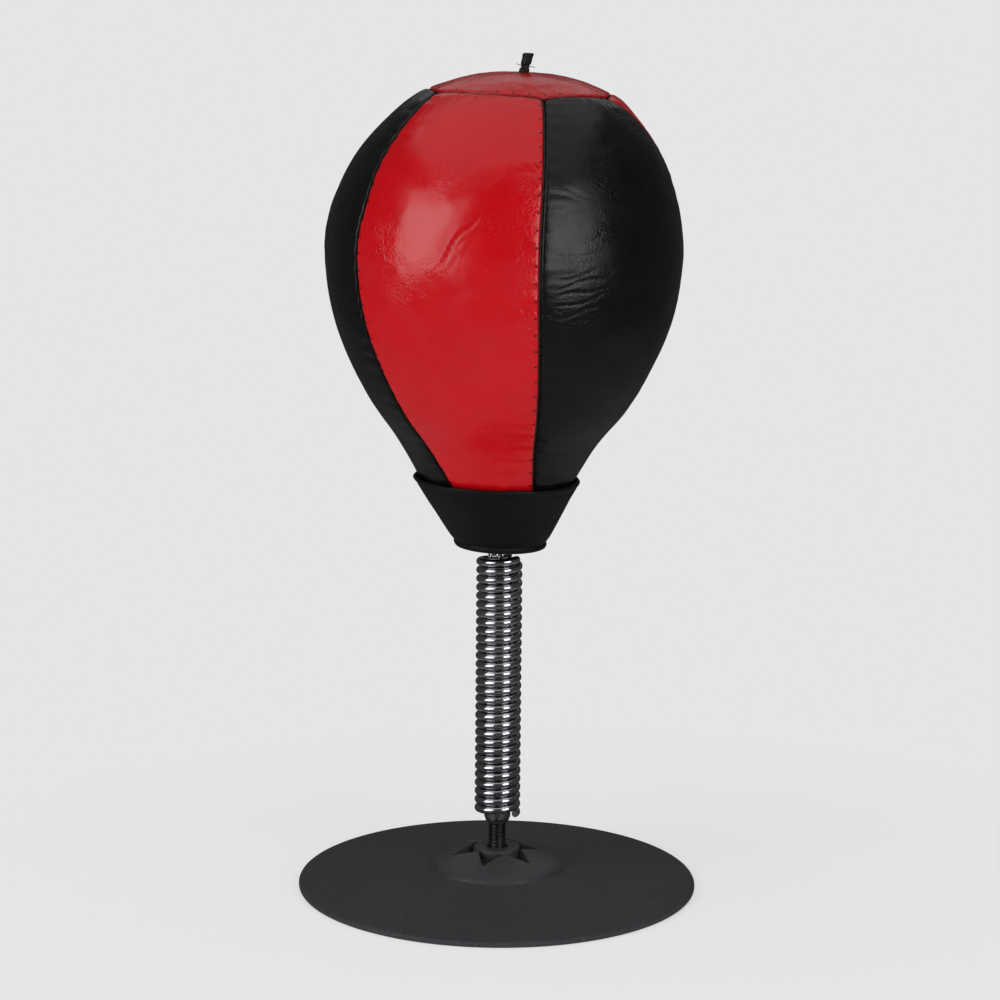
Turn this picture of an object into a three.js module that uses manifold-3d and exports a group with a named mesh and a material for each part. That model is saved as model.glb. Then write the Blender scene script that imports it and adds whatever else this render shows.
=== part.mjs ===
// A desktop spring reflex bag: a rubber suction cup, a close-coiled spring on a threaded stud, and an air-filled
// pear-shaped ball sewn from red and black panels, which sits in a cone-shaped holder.
// Millimetres, +Z up. The origin is the middle of the suction cup's face, on the table.
import * as THREE from "three";
import { mergeVertices } from "three/addons/utils/BufferGeometryUtils.js";
import Module from "manifold-3d";

const wasm = await Module();
wasm.setup();

// ---------------------------------------------------------------- driving dimensions
const GAP = 0.3; // clearance between pieces that touch

const CUP_R = 87.5; // suction cup
const SEAL_R = 83; // inside of the flat sealing ring round the cup's edge
const PAD_R = 30.4; // raised pad in the middle of the cup
const BOSS_R = 10;
const BOSS_TOP = 17.3;
const STAR_POINTS = 6; // star-shaped recess round the boss
const STAR_OUTER_R = 20.8;
const STAR_INNER_R = 11;
const STAR_TURN = -17; // degrees from the front to one point of the star

const STUD_R = 3.9; // M8 stud out of the cup
const STUD_TOP = 43;
const ANCHOR_R = 14; // steel plate moulded into the cup
const ANCHOR_BOTTOM = 8.7;
const ANCHOR_TOP = 10.5;

const WIRE_R = 1.7; // spring
const COIL_R = 8.4; // to the middle of the wire
const PITCH = 3.75;
const TURNS = 30;
const SPRING_BOTTOM = 32.6; // middle of the wire at its lower end
const WIRE_END = 66; // degrees from the front to the wire's lower end
const SPRING_TOP = SPRING_BOTTOM + TURNS * PITCH;
const PLUG_LENGTH = 15; // of spring held by the plug at each end
const PLUG_R = 5.8;
const BENDS = 6; // places where the free coils bend, about X and Y by turns

const LEAN = 1.6; // degrees that the head leans to +X
const LEAN_Z = 139.5; // height of the middle of the upper plug, about which it leans
const BALL_OFFSET = -3; // the ball is sewn a little to -X of its fixing

const HEAD_STUD_R = 2.9; // M6 stud that holds the head on the spring
const HOLDER_BOTTOM_R = 20;
const HOLDER_RIM_R = 36.2;
const HOLDER_RIM = 43; // heights in the head are counted from LEAN_Z
const HOLDER_BOTTOM = 12.8;
const HOLDER_WALL = 1.2;

const LEATHER = 1.5; // thicknesses of the ball's layers
const LINING = 1;
const RUBBER = 1.2;
const SEAMS = [10.9, 86, 141, 196, 251, 306.8]; // degrees from the front to each seam between panels
const SEAM_WIDTH = 2.4;
const WELT_WIDTH = 1.6;
const WELT_DEPTH = 0.4; // of the welt below the panels
const CAP_SEAM = 208.2; // height of the seam round the top cap
const SEAM_GAP = 0.4; // half of the gap there
const CROWN = 216.7;
const NECK_R = 2.2; // the bladder's filling neck
const NECK_BORE_R = 1.2;
const HOLE_R = 2.8; // hole in the crown for it
const NECK_TOP = 224.6;
const TIE_HEIGHT = 218.9;
const NECK_OFFSET = 6; // the neck comes out a little to +X of the crown's middle

const ROUND = 24; // sides of the head's round pieces
const OUTLINE_STEPS = 14; // straight pieces in the ball's outline
const CUP_SIDES = 40;

// The ball's outside, from the bottom of the holder to the crown, as [radius, height in the head].
const ballOutline = new THREE.SplineCurve(
  [
    [16, 18.6],
    [24.8, 30.5],
    [32, 40.5],
    [37.2, 49.8],
    [44.1, 60.8],
    [55.4, 75.8],
    [66, 95.8],
    [73.2, 115.8],
    [76.4, 138.5],
    [74.7, 155.8],
    [68, 175.8],
    [57.9, 191.5],
    [44.5, 205.3],
    [31, 211.8],
    [16, 215.6],
    [0, CROWN],
  ].map(([r, z]) => new THREE.Vector2(r, z)),
);

// ---------------------------------------------------------------- materials
const finish = (color, roughness, metalness = 0) =>
  new THREE.MeshStandardMaterial({ color, roughness, metalness });

const materials = {
  baseRubber: finish(0x252426, 0.75),
  steel: finish(0xb9bcc0, 0.3, 1),
  chrome: finish(0xd8dadd, 0.12, 1),
  redLeather: finish(0xb5141b, 0.3),
  blackLeather: finish(0x121214, 0.35),
  holder: finish(0x19191b, 0.5),
  lining: finish(0x8d8a84, 0.9),
  bladder: finish(0x1c1c1e, 0.6),
  board: finish(0x8a6a45, 0.85),
  thread: finish(0x0f0f10, 0.8),
};

// ---------------------------------------------------------------- solids
const radians = THREE.MathUtils.degToRad;

// A turned solid about +Z from [radius, height] points that run up the outside.
function turned(profile, sides = ROUND) {
  const points = profile.map(([r, z]) => new THREE.Vector2(r, z));
  return new THREE.LatheGeometry(points, sides).rotateX(Math.PI / 2);
}

// A turned ring, whose profile closes on itself away from the axis.
const turnedRing = (profile, sides) => turned([...profile, profile[0]], sides);

function solid(geometry) {
  const shell = geometry.clone();
  shell.deleteAttribute("normal");
  shell.deleteAttribute("uv");
  const merged = mergeVertices(shell, 1e-3);
  return new wasm.Manifold(
    new wasm.Mesh({
      numProp: 3,
      vertProperties: merged.attributes.position.array,
      triVerts: new Uint32Array(merged.index.array),
    }),
  );
}

function geometryOf(body) {
  const made = body.getMesh();
  const geometry = new THREE.BufferGeometry();
  geometry.setAttribute("position", new THREE.BufferAttribute(made.vertProperties, 3));
  geometry.setIndex(new THREE.BufferAttribute(made.triVerts, 1));
  geometry.computeVertexNormals();
  return geometry;
}

// An upright prism between two heights.
function prism(shape, bottom, top) {
  const options = { depth: top - bottom, bevelEnabled: false };
  return new THREE.ExtrudeGeometry(shape, options).translate(0, 0, bottom);
}

const polygon = (corners) => new THREE.Shape(corners.map(([x, y]) => new THREE.Vector2(x, y)));

// A point at a radius and an angle from the front, which is -Y, turning towards +X.
const around = (radius, degrees) => [
  radius * Math.sin(radians(degrees)),
  -radius * Math.cos(radians(degrees)),
];

const regular = (sides, radius) =>
  polygon(Array.from({ length: sides }, (_, i) => around(radius, (i * 360) / sides)));

function mesh(name, geometry, material) {
  const made = new THREE.Mesh(geometry, material);
  made.name = name;
  return made;
}

// ---------------------------------------------------------------- suction cup and its stud
function suctionCup() {
  const outside = [
    [0, 5.5],
    [30, 5.2],
    [60, 2.9],
    [80, 0.5],
    [SEAL_R, 0],
    [CUP_R - 0.6, 0],
    [CUP_R, 1.1],
    [CUP_R - 0.7, 2.6],
    [60, 5.4],
    [PAD_R + 1.2, 8.6],
    [PAD_R, 9.2],
    [PAD_R - 1, 10.5],
    [27, 11.9],
    [21, 13.9],
    [15, 15.7],
    [BOSS_R + 1, 16.9],
    [BOSS_R, BOSS_TOP],
    [0, BOSS_TOP],
  ];
  // Room for the stud and its plate, which the rubber is moulded round.
  const pocket = [
    [0, 7.2 - GAP],
    [7 + GAP, 7.2 - GAP],
    [7 + GAP, ANCHOR_BOTTOM - GAP],
    [ANCHOR_R + GAP, ANCHOR_BOTTOM - GAP],
    [ANCHOR_R + GAP, ANCHOR_TOP + GAP],
    [STUD_R + GAP, ANCHOR_TOP + GAP],
    [STUD_R + GAP, BOSS_TOP + 1],
    [0, BOSS_TOP + 1],
  ];
  // The recess is a star in plan, and its floor falls towards the boss.
  const points = Array.from({ length: 2 * STAR_POINTS }, (_, i) =>
    around(i % 2 ? STAR_INNER_R : STAR_OUTER_R, STAR_TURN + (i * 180) / STAR_POINTS),
  );
  const overFloor = [
    [BOSS_R, 11.6],
    [STAR_OUTER_R, 13.4],
    [STAR_OUTER_R + 1, 20],
    [BOSS_R, 20],
  ];
  const star = solid(prism(polygon(points), 9, 21));
  const recess = star.intersect(solid(turnedRing(overFloor, CUP_SIDES)));
  const body = solid(turned(outside, CUP_SIDES)).subtract(solid(turned(pocket))).subtract(recess);
  return mesh("suction_cup", geometryOf(body), materials.baseRubber);
}

function anchorPlate() {
  const profile = [
    [STUD_R + GAP, ANCHOR_BOTTOM],
    [ANCHOR_R, ANCHOR_BOTTOM],
    [ANCHOR_R, ANCHOR_TOP],
    [STUD_R + GAP, ANCHOR_TOP],
  ];
  return mesh("anchor_plate", turnedRing(profile), materials.steel);
}

function baseStud() {
  const profile = [
    [0, 7.2],
    [7, 7.2],
    [7, ANCHOR_BOTTOM - GAP],
    [STUD_R, ANCHOR_BOTTOM - GAP],
    [STUD_R, STUD_TOP - 1],
    [STUD_R - 1, STUD_TOP],
    [0, STUD_TOP],
  ];
  return mesh("base_stud", turned(profile, 16), materials.steel);
}

// ---------------------------------------------------------------- spring and its plugs
function lowerSpringPlug() {
  const bore = STUD_R + GAP;
  const top = SPRING_BOTTOM - WIRE_R + PLUG_LENGTH;
  const profile = [
    [bore, 28.2],
    [bore + 0.3, 28.2],
    [PLUG_R - 0.2, 30.4],
    [PLUG_R, 31.2],
    [PLUG_R, top],
    [0, top],
    [0, STUD_TOP + GAP],
    [bore, STUD_TOP + GAP],
  ];
  return mesh("lower_spring_plug", turnedRing(profile, 20), materials.chrome);
}

// Part of the spring's wire, between two numbers of turns from its lower end.
class Coils extends THREE.Curve {
  constructor(from, to) {
    super();
    this.from = from;
    this.to = to;
    this.arcLengthDivisions = 400;
  }
  getPoint(t) {
    const turn = THREE.MathUtils.lerp(this.from, this.to, t);
    const [x, y] = around(COIL_R, WIRE_END + 360 * turn);
    return new THREE.Vector3(x, y, SPRING_BOTTOM + PITCH * turn);
  }
}

// The one wire is cut into lengths that bend against each other, one more than there are bends.
function springCoils() {
  const free = PLUG_LENGTH - WIRE_R; // the coils round a plug don't bend
  const first = free / PITCH;
  const step = (TURNS - 2 * first) / BENDS;
  const cuts = Array.from({ length: BENDS }, (_, i) => first + (i + 0.5) * step);
  const ends = [0, ...cuts, TURNS];
  const trim = GAP / 2 / (2 * Math.PI * COIL_R);
  return ends.slice(1).map((end, i) => {
    const from = ends[i] + (i ? trim : 0);
    const to = end - (i < BENDS ? trim : 0);
    const options = {
      steps: Math.round((to - from) * 10),
      extrudePath: new Coils(from, to),
      bevelEnabled: false,
    };
    const wire = new THREE.ExtrudeGeometry(regular(5, WIRE_R), options);
    return mesh(`spring_coils_${i + 1}`, wire, materials.chrome);
  });
}

// ---------------------------------------------------------------- the head's fixings
function upperSpringPlug() {
  const spring = SPRING_TOP + WIRE_R - LEAN_Z;
  const hexTop = HOLDER_BOTTOM - 1.7;
  const shank = turned([
    [0, spring - PLUG_LENGTH],
    [PLUG_R, spring - PLUG_LENGTH],
    [PLUG_R, spring + GAP],
    [0, spring + GAP],
  ], 20);
  const hex = prism(regular(6, 5.9), spring + GAP / 2, hexTop);
  const bore = new THREE.CylinderGeometry(HEAD_STUD_R + GAP, HEAD_STUD_R + GAP, 40, 16);
  const tapped = solid(bore.rotateX(Math.PI / 2).translate(0, 0, 18));
  const body = solid(shank).add(solid(hex)).subtract(tapped);
  return mesh("upper_spring_plug", geometryOf(body), materials.chrome);
}

function headStud() {
  const profile = [
    [0, -1.6],
    [HEAD_STUD_R - 0.8, -1.6],
    [HEAD_STUD_R, -0.8],
    [HEAD_STUD_R, 38],
    [HEAD_STUD_R - 0.8, 38.8],
    [0, 38.8],
  ];
  return mesh("head_stud", turned(profile, 12), materials.steel);
}

// A flat washer between two heights.
function washer(name, outer, bottom, top, material) {
  const inner = HEAD_STUD_R + GAP;
  const profile = [
    [inner, bottom],
    [outer, bottom],
    [outer, top],
    [inner, top],
  ];
  return mesh(name, turnedRing(profile), material);
}

function holderCup() {
  const floor = HOLDER_BOTTOM + HOLDER_WALL;
  const profile = [
    [HEAD_STUD_R + GAP, HOLDER_BOTTOM],
    [HOLDER_BOTTOM_R - 0.5, HOLDER_BOTTOM],
    [HOLDER_BOTTOM_R, HOLDER_BOTTOM + 0.6],
    [HOLDER_BOTTOM_R - 0.1, HOLDER_BOTTOM + 3],
    [HOLDER_RIM_R, HOLDER_RIM - 0.3],
    [HOLDER_RIM_R - 0.5, HOLDER_RIM],
    [HOLDER_RIM_R - HOLDER_WALL - 0.1, HOLDER_RIM - 0.2],
    [HOLDER_BOTTOM_R - 0.1 - HOLDER_WALL, HOLDER_BOTTOM + 3.4],
    [HOLDER_BOTTOM_R - 0.1 - HOLDER_WALL, floor],
    [HEAD_STUD_R + GAP, floor],
  ];
  // Its rim is round the ball and its floor is round the stud.
  const skew = BALL_OFFSET / (HOLDER_RIM - HOLDER_BOTTOM);
  const towardsBall = new THREE.Matrix4().makeShear(0, 0, 0, 0, skew, 0);
  const cone = turnedRing(profile).translate(0, 0, -HOLDER_BOTTOM).applyMatrix4(towardsBall);
  return mesh("holder_cup", cone.translate(0, 0, HOLDER_BOTTOM), materials.holder);
}

// The tapered block that closes the bottom of the ball, with a tee nut in its top.
function neckBlock() {
  const profile = [
    [0, 18.4],
    [12, 18.4],
    [25, 38.4],
    [25, 40.2],
    [0, 40.2],
  ];
  const bore = new THREE.CylinderGeometry(4.4 + GAP, 4.4 + GAP, 60, ROUND).rotateX(Math.PI / 2);
  const body = solid(turned(profile)).subtract(solid(bore.translate(-BALL_OFFSET, 0, 30)));
  return mesh("neck_block", geometryOf(body), materials.board);
}

function teeNut() {
  const inner = HEAD_STUD_R + GAP;
  const profile = [
    [inner, 30],
    [4.4, 30],
    [4.4, 40.2 + GAP],
    [9, 40.2 + GAP],
    [9, 42],
    [inner, 42],
  ];
  return mesh("tee_nut", turnedRing(profile), materials.steel);
}

// ---------------------------------------------------------------- the ball
// The ball's outline from the bottom up to the filling neck's hole, moved inwards by a depth.
function layer(depth) {
  const end = 1 - HOLE_R / ballOutline.getLength();
  const inwards = new THREE.Vector2();
  return Array.from({ length: OUTLINE_STEPS + 1 }, (_, i) => {
    const along = (end * i) / OUTLINE_STEPS;
    const tangent = ballOutline.getTangentAt(along);
    inwards.set(-tangent.y, tangent.x).multiplyScalar(depth);
    const { x, y } = ballOutline.getPointAt(along).add(inwards);
    return [Math.max(x, HOLE_R), y];
  });
}

// One layer of the ball with a thickness, as a turned ring.
const shell = (depth, thickness) => turnedRing([...layer(depth), ...layer(depth + thickness).reverse()]);

// An upright slice of space between two heights, wide enough for the whole ball.
const slab = (bottom, top) => solid(prism(regular(ROUND, 120), bottom, top));

// Side panels of the cover, black and red by turns, with room for a welt in each seam.
function coverPanels() {
  const cover = solid(shell(0, LEATHER)).intersect(slab(0, CAP_SEAM - SEAM_GAP));
  return SEAMS.map((from, i) => {
    const to = i + 1 < SEAMS.length ? SEAMS[i + 1] : SEAMS[0] + 360;
    const [ax, ay] = around(SEAM_WIDTH / 2 / Math.sin(radians((to - from) / 2)), (from + to) / 2);
    const far = [from, to].map((angle) => around(160, angle));
    const slice = polygon([[ax, ay], ...far.map(([x, y]) => [ax + x, ay + y])]);
    const red = i % 2 === 1;
    const name = `cover_panel_${red ? "red" : "black"}_${Math.floor(i / 2) + 1}`;
    const body = cover.intersect(solid(prism(slice, 0, CROWN)));
    return mesh(name, geometryOf(body), red ? materials.redLeather : materials.blackLeather);
  });
}

// The narrow welt in each seam, a little lower than the panels.
function seamWelts() {
  const band = slab(HOLDER_RIM - 6, CAP_SEAM - 1.5);
  const cover = solid(shell(WELT_DEPTH, LEATHER - WELT_DEPTH)).intersect(band);
  return SEAMS.map((seam, i) => {
    const strip = new THREE.BoxGeometry(120, WELT_WIDTH, CROWN);
    strip.translate(60, 0, CROWN / 2).rotateZ(radians(seam - 90));
    return mesh(`seam_welt_${i + 1}`, geometryOf(cover.intersect(solid(strip))), materials.thread);
  });
}

// Moves what is close round the filling neck to where the neck comes out.
function atNeck(geometry) {
  const place = geometry.attributes.position;
  for (let i = 0; i < place.count; i++) {
    const close = Math.hypot(place.getX(i), place.getY(i)) < 9 && place.getZ(i) > CAP_SEAM;
    if (close) place.setX(i, place.getX(i) + NECK_OFFSET);
  }
  return geometry;
}

function topCap() {
  const body = solid(shell(0, LEATHER)).intersect(slab(CAP_SEAM + SEAM_GAP, CROWN + 5));
  return mesh("top_cap", atNeck(geometryOf(body)), materials.redLeather);
}

const coverLining = () => mesh("cover_lining", atNeck(shell(LEATHER + GAP, LINING)), materials.lining);

// The bladder, open at the top of its filling neck.
function bladder() {
  const depth = LEATHER + LINING + 2 * GAP;
  const above = (height) => ([r, z]) => z > height && r > 3 * NECK_R;
  const profile = [
    [0, 43],
    [24, 43.6],
    [30, 46],
    ...layer(depth).filter(above(56)),
    [NECK_R + 0.3, CROWN - depth - 0.8],
    [NECK_R, CROWN - depth + 0.6],
    [NECK_R, NECK_TOP - 1.2],
    [NECK_BORE_R, NECK_TOP - 1.2],
    [NECK_BORE_R, CROWN - depth - RUBBER - 1],
    ...layer(depth + RUBBER).filter(above(57)).reverse(),
    [28.5, 47.6],
    [23, 45],
    [0, 44.4],
  ];
  return mesh("bladder", atNeck(turned(profile)), materials.bladder);
}

function neckPlug() {
  const profile = [
    [0, NECK_TOP - 10],
    [NECK_BORE_R - GAP, NECK_TOP - 10],
    [NECK_BORE_R - GAP, NECK_TOP - 0.9],
    [2.1, NECK_TOP - 0.9],
    [1.9, NECK_TOP - 0.2],
    [1.1, NECK_TOP],
    [0, NECK_TOP],
  ];
  return mesh("neck_plug", atNeck(turned(profile, 12)), materials.bladder);
}

function neckTie() {
  const ring = new THREE.TorusGeometry(NECK_R + GAP + 0.55, 0.55, 6, 16);
  return mesh("neck_tie", atNeck(ring.translate(0, 0, TIE_HEIGHT)), materials.thread);
}

// ---------------------------------------------------------------- assembly
const bag = new THREE.Group();
bag.add(suctionCup(), anchorPlate(), baseStud(), lowerSpringPlug(), ...springCoils());

const ball = new THREE.Group();
ball.position.x = BALL_OFFSET;
ball.add(
  neckBlock(),
  bladder(),
  coverLining(),
  ...coverPanels(),
  ...seamWelts(),
  topCap(),
  neckPlug(),
  neckTie(),
);

const head = new THREE.Group();
head.position.z = LEAN_Z;
head.rotation.y = radians(LEAN);
head.add(
  upperSpringPlug(),
  headStud(),
  washer("rubber_washer", 5.4, HOLDER_BOTTOM - 1.4, HOLDER_BOTTOM - GAP, materials.bladder),
  holderCup(),
  washer("holder_base_disc", 18, 14.3, 16.4, materials.board),
  washer("clamp_washer", 12, 16.7, 18.1, materials.steel),
  teeNut(),
  ball,
);
bag.add(head);

export default bag;
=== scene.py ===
"""Looks of the spring reflex bag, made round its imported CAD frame, for Blender 4.5.

Shapes are worked out in millimetres and made in metres. The ball and its holder have their own frames, which lean
as they do in the CAD model.
"""

import math

import bpy
import numpy as np
from mathutils import Matrix, Vector


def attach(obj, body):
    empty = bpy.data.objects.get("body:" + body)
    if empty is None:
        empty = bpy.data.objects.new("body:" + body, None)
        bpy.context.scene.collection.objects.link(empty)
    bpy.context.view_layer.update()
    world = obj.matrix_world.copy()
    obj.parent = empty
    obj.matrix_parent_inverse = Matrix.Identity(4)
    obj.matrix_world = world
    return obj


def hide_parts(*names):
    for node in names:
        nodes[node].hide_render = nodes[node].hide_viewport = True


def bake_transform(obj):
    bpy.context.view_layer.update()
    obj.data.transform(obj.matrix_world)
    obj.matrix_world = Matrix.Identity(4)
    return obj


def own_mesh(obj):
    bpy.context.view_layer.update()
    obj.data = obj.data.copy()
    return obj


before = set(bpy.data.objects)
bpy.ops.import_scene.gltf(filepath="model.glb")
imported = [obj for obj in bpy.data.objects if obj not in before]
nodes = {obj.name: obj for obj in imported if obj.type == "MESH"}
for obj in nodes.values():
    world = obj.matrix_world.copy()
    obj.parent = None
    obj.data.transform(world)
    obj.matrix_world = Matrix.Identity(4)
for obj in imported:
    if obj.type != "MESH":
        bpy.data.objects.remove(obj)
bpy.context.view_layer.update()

MM = 0.001
STITCH = 7.2  # between needle holes, in mm
HOLE_INSET = 1.75  # from a seam to its needle holes, in mm

# ---------------------------------------------------------------- the CAD model's driving dimensions, in mm
LEAN = math.radians(1.6)
LEAN_Z = 139.5
BALL_OFFSET = -3.0
SEAMS = (10.9, 86.0, 141.0, 196.0, 251.0, 306.8)
CAP_SEAM_R = 39.6
CROWN = 216.7
NECK_R = 2.2
NECK_TOP = 224.6
BELLY = 148.0  # height at which the seams are straight, and above which the crown drifts
CAP_Z = 208.0  # height of the top cap's seam
CROWN_DRIFT = 3.4  # how far the ball's upper part sags to +X
NECK_OFFSET = 0.2  # of the filling neck to +X, on top of the crown's drift
OUTLINE = [
    (16, 18.6), (24.8, 30.5), (32, 40.5), (37.2, 49.8), (44.1, 60.8), (55.4, 75.8), (66, 95.8), (73.2, 115.8),
    (76.4, 138.5), (74.7, 155.8), (68, 175.8), (57.9, 191.5), (44.5, 205.3), (31, 211.8), (16, 215.6), (0, CROWN),
]
HOLDER_BOTTOM = 12.8
HOLDER_RIM = 43.0
HOLDER_RIM_R = 36.2
BOSS_R = 10.0
STAR_TIP_R = 21.2
STAR_INNER_R = 11.2
STAR_TURN = -17.0
STUD_R = 3.9
STUD_TOP = 43.0
WIRE_R = 1.7
COIL_R = 8.4
PITCH = 3.75
WIRE_PITCH = 3.82  # a little more than the CAD solids have, so that gaps show between the turns
TURNS = 30
SPRING_BOTTOM = 32.6
WIRE_END = 66.0
PLUG_LENGTH = 15.0
PLUG_R = 5.8

HEAD = Matrix.Translation((0, 0, LEAN_Z)) @ Matrix.Rotation(LEAN, 4, "Y")
BALL = HEAD @ Matrix.Translation((BALL_OFFSET, 0, 0))
ROW = Matrix.Identity(4)


# ---------------------------------------------------------------- meshes
def grid_faces(rows, cols, wrap_rows=False, wrap_cols=False, start=0):
    """Quads over a grid of points, which is stored row by row."""
    i, j = np.meshgrid(
        np.arange(rows if wrap_rows else rows - 1), np.arange(cols if wrap_cols else cols - 1), indexing="ij"
    )
    down, right = (i + 1) % rows, (j + 1) % cols
    quads = np.stack([i * cols + j, i * cols + right, down * cols + right, down * cols + j], -1)
    return (quads.reshape(-1, 4) + start).tolist()


def signed_volume(points, faces):
    total = 0.0
    for size in {len(f) for f in faces}:
        corners = points[np.array([f for f in faces if len(f) == size])]
        for k in range(1, size - 1):
            total += np.einsum("ij,ij->", corners[:, 0], np.cross(corners[:, k], corners[:, k + 1]))
    return total


def make(name, points, faces, material, body, place=ROW, slot=None, sharp=None):
    """A smooth-shaded object from points in mm, which rides on a body."""
    points = np.array(points, float).reshape(-1, 3)
    if place is BALL:
        points[:, 0] += CROWN_DRIFT * (np.clip(points[:, 2] - BELLY, 0, None) / 52) ** 1.5
    if signed_volume(points, faces) < 0:
        faces = [list(reversed(f)) for f in faces]
    matrix = np.array(place)
    world = (points @ matrix[:3, :3].T + matrix[:3, 3]) * MM
    mesh = bpy.data.meshes.new(name)
    mesh.from_pydata(world.tolist(), [], faces)
    mesh.polygons.foreach_set("use_smooth", [True] * len(mesh.polygons))
    mesh.update()
    if sharp is not None:
        mesh.set_sharp_from_angle(angle=math.radians(sharp))
    made = bpy.data.objects.new(name, mesh)
    bpy.context.scene.collection.objects.link(made)
    made.data.materials.append(material)
    if body:
        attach(made, body)
    return made


def around(radius, degrees, height):
    """Points at a radius and an angle from the front, -Y, towards +X."""
    angle = np.radians(degrees)
    return np.stack(np.broadcast_arrays(radius * np.sin(angle), -radius * np.cos(angle), height), -1)


def turned(profile, sides):
    """Points and faces of a solid turned about +Z, from a profile that starts and ends on the axis."""
    profile = np.asarray(profile, float)
    inner = profile[1:-1]
    grid = around(inner[:, :1], np.linspace(0, 360, sides, endpoint=False)[None, :], inner[:, 1:])
    return capped(grid, profile[0, 1], profile[-1, 1])


def end_faces(rows, sides):
    """The two flat ends of a tube whose rings are stored row by row."""
    end = (rows - 1) * sides
    return [list(range(sides))[::-1], [end + j for j in range(sides)]]


def tube(path, radii, sides=8):
    """Points and faces of a tube with flat ends along a path."""
    path = np.asarray(path, float)
    radii = np.broadcast_to(radii, len(path))
    tangent = np.gradient(path, axis=0)
    tangent /= np.linalg.norm(tangent, axis=1)[:, None]
    side = np.cross(tangent, [0.31, 0.17, 0.93])
    side /= np.linalg.norm(side, axis=1)[:, None]
    across = np.cross(tangent, side)
    turn = np.linspace(0, 2 * np.pi, sides, endpoint=False)
    ring = np.cos(turn)[None, :, None] * side[:, None] + np.sin(turn)[None, :, None] * across[:, None]
    points = (path[:, None] + radii[:, None, None] * ring).reshape(-1, 3)
    faces = grid_faces(len(path), sides, wrap_cols=True)
    return points, faces + end_faces(len(path), sides)


def capped(grid, bottom, top):
    """Points and faces of a solid of rings, closed at both ends by a fan round a point on the axis."""
    rows, sides = grid.shape[:2]
    faces = grid_faces(rows, sides, wrap_cols=True)
    low, high, last = rows * sides, rows * sides + 1, (rows - 1) * sides
    for j in range(sides):
        faces.append([low, (j + 1) % sides, j])
        faces.append([high, last + j, last + (j + 1) % sides])
    return np.vstack([grid.reshape(-1, 3), [0, 0, bottom], [0, 0, top]]), faces


def joined(parts):
    """Several (points, faces) as one."""
    points, faces, start = [], [], 0
    for p, f in parts:
        points.append(p)
        faces += [[i + start for i in face] for face in f]
        start += len(p)
    return np.vstack(points), faces


def edge_strip(fine, coarse, step):
    """Faces between a fine edge and a coarse one that has a point at every step-th point of it."""
    faces = []
    for k in range(len(coarse) - 1):
        at, middle = k * step, k * step + step // 2
        for i in range(at, middle):
            faces.append([coarse[k], fine[i], fine[i + 1]])
        faces.append([coarse[k], fine[middle], coarse[k + 1]])
        for i in range(middle, at + step):
            faces.append([coarse[k + 1], fine[i], fine[i + 1]])
    return faces


def sheet_solid(outer, inner, row_step, col_step):
    """A closed sheet: a fine outer grid of points, and an inner one of which only some rows and columns are kept."""
    rows, cols = outer.shape[:2]
    back = inner[::row_step, ::col_step]
    back_rows, back_cols = back.shape[:2]
    start = rows * cols
    fine = np.arange(start).reshape(rows, cols)
    coarse = start + np.arange(back_rows * back_cols).reshape(back_rows, back_cols)
    faces = grid_faces(rows, cols)
    faces += [f[::-1] for f in grid_faces(back_rows, back_cols, start=start)]
    faces += edge_strip(fine[:, 0], coarse[:, 0], row_step)
    faces += [f[::-1] for f in edge_strip(fine[:, -1], coarse[:, -1], row_step)]
    faces += [f[::-1] for f in edge_strip(fine[0], coarse[0], col_step)]
    faces += edge_strip(fine[-1], coarse[-1], col_step)
    return np.vstack([outer.reshape(-1, 3), back.reshape(-1, 3)]), faces


def noise(points, size, seed):
    """Smooth noise from -1 to 1, whose features have a size in mm."""
    q = np.asarray(points, float) / size + 37.3
    cell = np.floor(q).astype(np.int64)
    f = q - cell
    f = f * f * f * (f * (f * 6 - 15) + 10)
    total = np.zeros(q.shape[:-1])
    for dx in (0, 1):
        for dy in (0, 1):
            for dz in (0, 1):
                h = (cell[..., 0] + dx) * 73856093 ^ (cell[..., 1] + dy) * 19349663 ^ (cell[..., 2] + dz) * 83492791
                h = (h ^ seed * 265443576) & 0x7FFFFFFF
                h = ((h ^ h >> 13) * 1274126177) & 0x7FFFFFFF
                value = ((h ^ h >> 16) & 0xFFFF) / 32767.5 - 1
                weight = (f[..., 0] if dx else 1 - f[..., 0]) * (f[..., 1] if dy else 1 - f[..., 1])
                total += value * weight * (f[..., 2] if dz else 1 - f[..., 2])
    return total


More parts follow.
